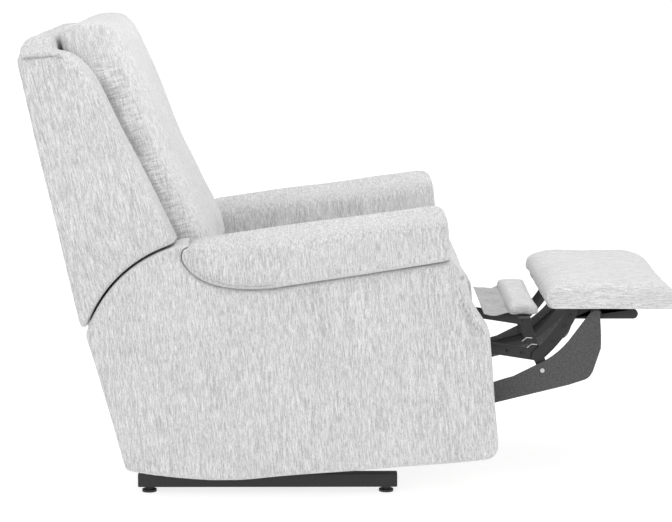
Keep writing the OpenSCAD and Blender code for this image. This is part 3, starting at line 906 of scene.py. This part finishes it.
def fill_with_fibre(piece, cap, held):
    """Swells the piece by cloth simulation; held(points) is 0 where it may not move."""
    mesh = piece.data
    start = np.array([vert.co for vert in mesh.vertices], float)
    cloth = piece.modifiers.new("fibre", "CLOTH")
    settings = cloth.settings
    settings.use_pressure = True
    settings.uniform_pressure_force = FIBRE_PRESSURE
    settings.quality = 4
    settings.mass = 0.3
    settings.tension_stiffness = 25
    settings.compression_stiffness = 25
    settings.shear_stiffness = 12
    settings.bending_stiffness = 0.8
    settings.effector_weights.gravity = 0
    cloth.collision_settings.use_collision = False
    cloth.point_cache.frame_start = 1
    cloth.point_cache.frame_end = FILLING_STEPS
    for frame_number in range(1, FILLING_STEPS + 1):
        bpy.context.scene.frame_set(frame_number)
    evaluated = piece.evaluated_get(bpy.context.evaluated_depsgraph_get())
    blown = np.array([vert.co for vert in evaluated.data.vertices], float)
    piece.modifiers.remove(cloth)
    bpy.context.scene.frame_set(1)
    move = blown - start
    length = np.linalg.norm(move, axis=1)
    limited = cap * np.tanh(length / cap)
    move *= (limited / np.maximum(length, 1e-9) * held(start))[:, None]
    for vert, point in zip(mesh.vertices, start + move):
        vert.co = point
    print(piece.name, "swelled by up to", round(float(np.abs(limited).max()) / MM, 1), "mm")


def stuffed(name, bm, material, voxel, shrink, cap, held, smoothing=6):
    """A remeshed, slightly shrunken and then filled cushion, as a bmesh in the level chair."""
    bm = remesh(bm, voxel, smoothing)
    put_points(bm, points_of(bm) - normals_of(bm) * shrink)
    piece = make_object(name, bm, material, upright=False)
    fill_with_fibre(piece, cap, held)
    bm = bmesh.new()
    bm.from_mesh(piece.data)
    bpy.data.objects.remove(piece)
    bmesh.ops.smooth_vert(
        bm, verts=bm.verts, factor=0.5, use_axis_x=True, use_axis_y=True, use_axis_z=True
    )
    return bm


def subdivided(bm):
    """Halves every edge on a smooth surface."""
    piece = make_object("subdividing", bm, None, upright=False)
    modifier = piece.modifiers.new("fine", "SUBSURF")
    modifier.levels = 1
    modifier.render_levels = 1
    evaluated = piece.evaluated_get(bpy.context.evaluated_depsgraph_get())
    made = bmesh.new()
    made.from_mesh(evaluated.to_mesh())
    evaluated.to_mesh_clear()
    bpy.data.objects.remove(piece)
    return made


# %% Back cushion
cushion_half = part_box("back_cushion")[1].y


def back_cushion():
    node = "back_cushion"
    bm = level_copy(node)
    loop = face_loop(node, 1)
    top = loop[:, 1].max()

    def ahead_of_frame(x, z):
        """How far a place lies ahead of the cushion's flat rear face."""
        return x - (loop[:, 0].min() + (top - z) * math.tan(WING_LEAN))

    round_edges(bm, 38 * MM, 5, lambda middle, edge: (
        abs(middle.y) > cushion_half - MM
        and ahead_of_frame(middle.x, middle.z) > 120 * MM
        and middle.z > BACK_PIVOT.z + 240 * MM
    ))

    wing_loop = face_loop("wing_left", 1)
    wing_edge = np.array(longest_run(
        wing_loop, lambda x, z: z > BACK_PIVOT.z + 250 * MM and x > wing_loop[:, 0].min() + 0.16
    ))

    def frame_front(points):
        """How far each point lies from the front edge of the wings, seen from the side."""
        flat = np.stack([points[:, 0], np.zeros(len(points)), points[:, 2]], 1)
        return distance_to(flat, [(x, 0, z) for x, z in wing_edge])

    def held(points):
        free = np.clip(ahead_of_frame(points[:, 0], points[:, 2]) / 0.12, 0, 1)
        above = np.clip((points[:, 2] - BACK_PIVOT.z - 0.17) / 0.1, 0, 1)
        return free * above

    bm = stuffed(
        node, bm, lit_cushion_cloth, voxel=9 * MM, shrink=7 * MM, cap=10 * MM, held=held
    )
    bm = subdivided(bm)
    points = points_of(bm)
    ahead = ahead_of_frame(points[:, 0], points[:, 2])
    below_head = smoothstep((top - points[:, 2] - 0.10) / 0.25)
    points[:, 0] -= 15 * MM * below_head * smoothstep((ahead - 0.10) / 0.08)
    put_points(bm, points)
    on_side = np.clip((np.abs(points[:, 1]) - (cushion_half - 30 * MM)) / (20 * MM), 0, 1)
    wing_line = frame_front(points)
    near_seam = np.clip(1 - (wing_line - 30 * MM) / (50 * MM), 0, 1) * on_side
    soften(bm, depth=1.5 * MM, size=0.1, seed=41)
    # The sides near the wings pucker, with painted light and shade in the colour, and a dark line
    # of painted shade runs along the front edge of the wings.
    mark(bm, "gather", near_seam)
    mark(bm, "seam", 0.75 * np.exp(-((wing_line / (9 * MM)) ** 2)) * on_side)
    piece = make_object("back_pillow", bm, lit_cushion_cloth)
    smooth(piece)
    return settle(piece, "back", "upholstery", node)


back_cushion()


# %% Seat cushion
def seat_cushion():
    node = "seat_cushion"
    bm = level_copy(node)
    low, high = points_of(bm).min(0), points_of(bm).max(0)
    front, seat_top = high[0], high[2]
    round_edges(bm, 26 * MM, 4, lambda middle, edge: abs(middle.y) > cushion_half - MM
                and middle.z > low[2] + 60 * MM and middle.x > 0)

    def held(points):
        return np.clip((points[:, 2] - low[2] - 0.03) / 0.08, 0, 1)

    bm = stuffed(
        node, bm, lit_cushion_cloth, voxel=10 * MM, shrink=4 * MM, cap=9 * MM, held=held
    )
    bm = subdivided(bm)
    across = [(front - 12 * MM, y, seat_top - 62 * MM) for y in (-cushion_half, cushion_half)]
    points = points_of(bm)
    near = np.abs(points[:, 2] - across[0][2])
    ahead = points[:, 0] > front - 60 * MM
    crease_shade = np.exp(-((near / (2.6 * MM)) ** 2)) * ahead
    pull = np.exp(-((near / (6 * MM)) ** 2)) * ahead
    put_points(bm, points - normals_of(bm) * (pull * 3 * MM)[:, None])
    # Painted shade: the crease of the front seam is darkened as well as pulled in.
    mark(bm, "seam", crease_shade)
    piece = make_object("seat_pillow", bm, lit_cushion_cloth)
    smooth(piece)
    return settle(piece, "seat", "upholstery", node)


seat_cushion()


# %% Footrest pad and middle pad
def footrest_pad(name, node, edge, voxel, cap, shrink, heel_out):
    bm = level_copy(node, upright=False)
    low = points_of(bm).min(0)
    flat = low[2] + 6 * MM
    round_edges(bm, edge, 4, lambda middle, edge: middle.z > flat)

    def held(points):
        return np.clip((points[:, 2] - flat) / (12 * MM), 0, 1)

    bm = stuffed(name, bm, lit_footrest_cloth, voxel, shrink, cap, held, smoothing=4)
    bm = subdivided(bm)
    points = points_of(bm)
    at_heel = smoothstep(1 - (points[:, 0] - low[0]) / (70 * MM))
    points[:, 0] -= heel_out * at_heel * smoothstep((points[:, 2] - flat - 4 * MM) / (14 * MM))
    put_points(bm, points)
    soften(bm, depth=0.8 * MM, size=0.07, seed=51)
    piece = make_object(name, bm, lit_footrest_cloth, upright=False)
    smooth(piece)
    return settle(piece, body_of(node), "upholstery", node)


footrest_pad("footrest_pillow", "footrest_pad", edge=14 * MM, voxel=7 * MM, cap=6 * MM,
             shrink=5 * MM, heel_out=9 * MM)
footrest_pad("middle_pillow", "mid_pad", edge=4 * MM, voxel=4 * MM, cap=3.5 * MM,
             shrink=0.5 * MM, heel_out=0)

# %% [markdown]
# ## The front flap
# A single sheet of cloth closes the gap from the seat front to the middle pad. It is cut
# flat, stapled along both ends and left slack, so it sags between them and folds a
# little along its length.

# %% Front flap
flap_low, flap_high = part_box("front_flap")


def front_flap():
    half = flap_high.y
    points = np.array([vert.co for vert in nodes["front_flap"].data.vertices])
    at_seat = points[points[:, 0] < flap_low.x + 4 * MM]
    at_pad = points[points[:, 0] > flap_high.x - 4 * MM]
    seat_edge = Vector((flap_low.x, 0, at_seat[:, 2].mean()))
    pad_edge = Vector((flap_high.x + 9 * MM, 0, at_pad[:, 2].mean()))
    bm = bmesh.new()
    bmesh.ops.create_grid(bm, x_segments=40, y_segments=120, size=0.5)
    for vert in bm.verts:
        along, across = vert.co.x + 0.5, vert.co.y * 2
        slack = 4 * along * (1 - along)
        broad_fold = math.sin(across * 9 + along * 3.4) * 3.4
        narrow_fold = math.sin(across * 21 + along * 2 + 1.7) * 2.2
        fold = (broad_fold + narrow_fold) * slack + math.sin(across * 3.1 + 0.6) * 2
        vert.co = seat_edge.lerp(pad_edge, along)
        vert.co.y = across * half
        vert.co.z += (-3 * slack + fold * (0.4 + 0.6 * slack)) * MM
    bmesh.ops.solidify(bm, geom=bm.faces, thickness=1.2 * MM)
    # The flap takes the darker copy of the weave: painted shade.
    piece = make_object("flap_cloth", bm, shaded_flap_cloth, upright=False)
    smooth(piece)
    settle(piece, "seat", "upholstery", "front_flap")
    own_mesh(piece)
    return piece


front_flap()

# %% [markdown]
# ## Steel, base and feet
# Stamped plates and folded rails have edges that the press has just broken. A small
# bevel on a clean copy catches the light along every edge, as the real ones do. The CAD
# node itself is only hidden.

# %% Eased steel
EASED = {
    "cover_plate": (1.2 * MM, plate_speckle, "cover_paint"),
    "long_link": (0.8 * MM, link_paint, "link_steel"),
    "upper_link": (0.8 * MM, link_paint, "link_steel"),
    "drive_link": (0.8 * MM, link_paint, "link_steel"),
    "side_plate": (0.8 * MM, link_paint, "link_steel"),
    "footrest_rail": (2.5 * MM, rail_paint, "link_steel"),
    "base_rail": (2.2 * MM, rail_paint, "base_paint"),
    "tilt_bracket": (1.5 * MM, rail_paint, "base_paint"),
    "back_stile": (1.0 * MM, link_paint, "link_steel"),
}


def eased(node, width, material, slot):
    bm = level_copy(node, upright=False)
    round_edges(bm, width, 2, lambda middle, edge: True, angle=50)
    piece = make_object(node + "_eased", bm, material, upright=False)
    smooth(piece, 32)
    return settle(piece, body_of(node), slot, node)


for stem, (width, material, slot) in EASED.items():
    for label in SIDES:
        eased(f"{stem}_{label}", width, material, slot)

SINGLE = {
    "mid_pad_bracket": (1.2 * MM, link_paint, "link_steel"),
    "base_cross_front": (2.2 * MM, rail_paint, "base_paint"),
    "base_cross_rear": (2.2 * MM, rail_paint, "base_paint"),
    "seat_rail_front": (2.5 * MM, timber_across, "timber"),
    "seat_rail_rear": (2.5 * MM, timber_across, "timber"),
    "back_rail_top": (2.5 * MM, timber_across, "timber"),
    "back_rail_bottom": (2.5 * MM, timber_across, "timber"),
    "footrest_board": (2.0 * MM, moulded_black, "link_steel"),
    "actuator_rail": (1.0 * MM, spring_steel, "spring_wire"),
    "actuator_motor": (3.0 * MM, moulded_black, "black_plastic"),
    "drive_block": (1.5 * MM, moulded_black, "black_plastic"),
    "control_plate": (1.2 * MM, moulded_grey, "grey_plastic"),
    "power_inlet": (1.5 * MM, moulded_black, "black_plastic"),
}
for node, (width, material, slot) in SINGLE.items():
    eased(node, width, material, slot)

# %% [markdown]
# ## Rivets and clips
# The layers of the linkage are held by rivets with low domed heads, and the guide is
# punched with dark holes. Two bright wire clips hold the bracket under the middle pad. A
# rivet is a few rings of a shallow dome, and a clip is a bent wire, so both are spun or
# swept from a handful of points.

# %% Rivet heads and wire clips
outer_face = {
    "long_link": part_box("drive_link_left")[1].y,
    "upper_link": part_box("upper_link_left")[1].y,
}


def rivet_heads(stem, places, radius, material):
    """Domed heads on the outer faces of both links, each at a level place in X and Z."""
    for label, side in SIDES.items():
        bm = bmesh.new()
        for x, z in places:
            profile = [bm.verts.new((radius * c, 0, radius * h)) for c, h in
                       ((1, 0), (1, 0.10), (0.86, 0.26), (0.5, 0.38), (0, 0.42))]
            rim = [bm.edges.new(pair) for pair in zip(profile[:-1], profile[1:])]
            bmesh.ops.spin(
                bm, geom=profile + rim, cent=(0, 0, 0), axis=(0, 0, 1),
                angle=math.tau, steps=16, use_merge=True, use_duplicate=False,
            )
            made = [vert for vert in bm.verts if not vert.tag]
            turn = Matrix.Rotation(-side * math.pi / 2, 4, "X")
            place = Matrix.Translation((x, side * (outer_face[stem] - 0.05 * MM), z)) @ turn
            bmesh.ops.transform(bm, matrix=place, verts=made)
            for vert in made:
                vert.tag = True
        bmesh.ops.remove_doubles(bm, verts=bm.verts, dist=0.01 * MM)
        bmesh.ops.holes_fill(bm, edges=[edge for edge in bm.edges if edge.is_boundary], sides=0)
        bmesh.ops.recalc_face_normals(bm, faces=bm.faces)
        piece = make_object(f"{stem}_rivets_{label}", bm, material)
        smooth(piece, 40)
        settle(piece, body_of(f"{stem}_{label}"), "link_steel")


GUIDE_EYE = Vector((0.620, 0.248))
rivet_heads("long_link", [
    tuple(GUIDE_EYE + Vector(step)) for step in ((0.036, 0.031), (0.065, 0.064), (0.080, 0.086))
], 4.5 * MM, rivet_black)
rivet_heads("upper_link", [
    tuple(GUIDE_EYE), tuple(GUIDE_EYE + Vector((-0.034, 0.009))),
    tuple(GUIDE_EYE + Vector((-0.066, 0.017))),
], 5 * MM, rivet_black)


def wire_clips(label, side):
    """Two bright bent wires on the upper link, below the middle pad."""
    bm = bmesh.new()
    y = side * (outer_face["upper_link"] + 1.2 * MM)
    for x, z in ((0.588, 0.284), (0.598, 0.268)):
        bend = [
            Vector((x, y, z)), Vector((x + 10 * MM, y, z + 7 * MM)),
            Vector((x + 22 * MM, y, z + 5 * MM)),
        ]
        for here, there in zip(bend[:-1], bend[1:]):
            turn = (there - here).to_track_quat("Z", "Y").to_matrix().to_4x4()
            place = Matrix.Translation((here + there) / 2) @ turn
            bmesh.ops.create_cone(
                bm, cap_ends=True, segments=10, radius1=1.1 * MM, radius2=1.1 * MM,
                depth=(there - here).length + 1.6 * MM, matrix=place,
            )
    piece = make_object(f"wire_clips_{label}", bm, zinc)
    smooth(piece, 40)
    settle(piece, body_of(f"upper_link_{label}"), "spring_wire")


for label, side in SIDES.items():
    wire_clips(label, side)

# %% [markdown]
# ## Nodes that keep their shape
# Springs, screws, the drive tube, buttons and feet are right as the frame brings them. They
# only take a finish, because a second copy of the same shape would add nothing.

# %% Finishes of the nodes that stay as they are
KEPT = {
    "seat_springs": spring_steel, "back_springs": spring_steel, "cover_screws": zinc,
    "drive_tube": link_paint, "recline_button": moulded_black, "return_button": moulded_black,
}
for node, material in KEPT.items():
    nodes[node].data.materials.clear()
    nodes[node].data.materials.append(material)
for end in ("front", "rear"):
    for label in SIDES:
        node = f"foot_{end}_{label}"
        nodes[node].data.materials.clear()
        nodes[node].data.materials.append(moulded_black)
print(len(KEPT) + 4, "nodes keep their shape and take a finish")

# %% [markdown]
# ## Floor
# The floor is a plain pale sheet, wide enough to pass behind the view. A little light of
# its own keeps it as clean as a studio sweep.

# %% Floor
floor_finish = Finish("studio_floor", Roughness=0.9, Specular_IOR_Level=0.1)
floor_tone = floor_finish.noise(floor_finish.place(), 2.0, 2.0, 0.5)
floor_finish.shader.inputs["Emission Strength"].default_value = 0.80
floor_material = floor_finish.show(
    Base_Color=floor_finish.mix(floor_tone, grey(0.36), grey(0.39)),
    Emission_Color=floor_finish.mix(floor_tone, grey(0.97), grey(1.0)),
)
floor_bm = bmesh.new()
bmesh.ops.create_grid(floor_bm, x_segments=8, y_segments=8, size=60)
floor = make_object("studio_floor", floor_bm, floor_material, upright=False)
floor.data.transform(Matrix.Translation((0, 0, cad_box[0].z)))

# %% [markdown]
# ## Sizes and the end
# The box of the frame is printed at the end.

# %% Sizes and the end
print("CAD box", [tuple(round(v, 4) for v in corner) for corner in cad_box])
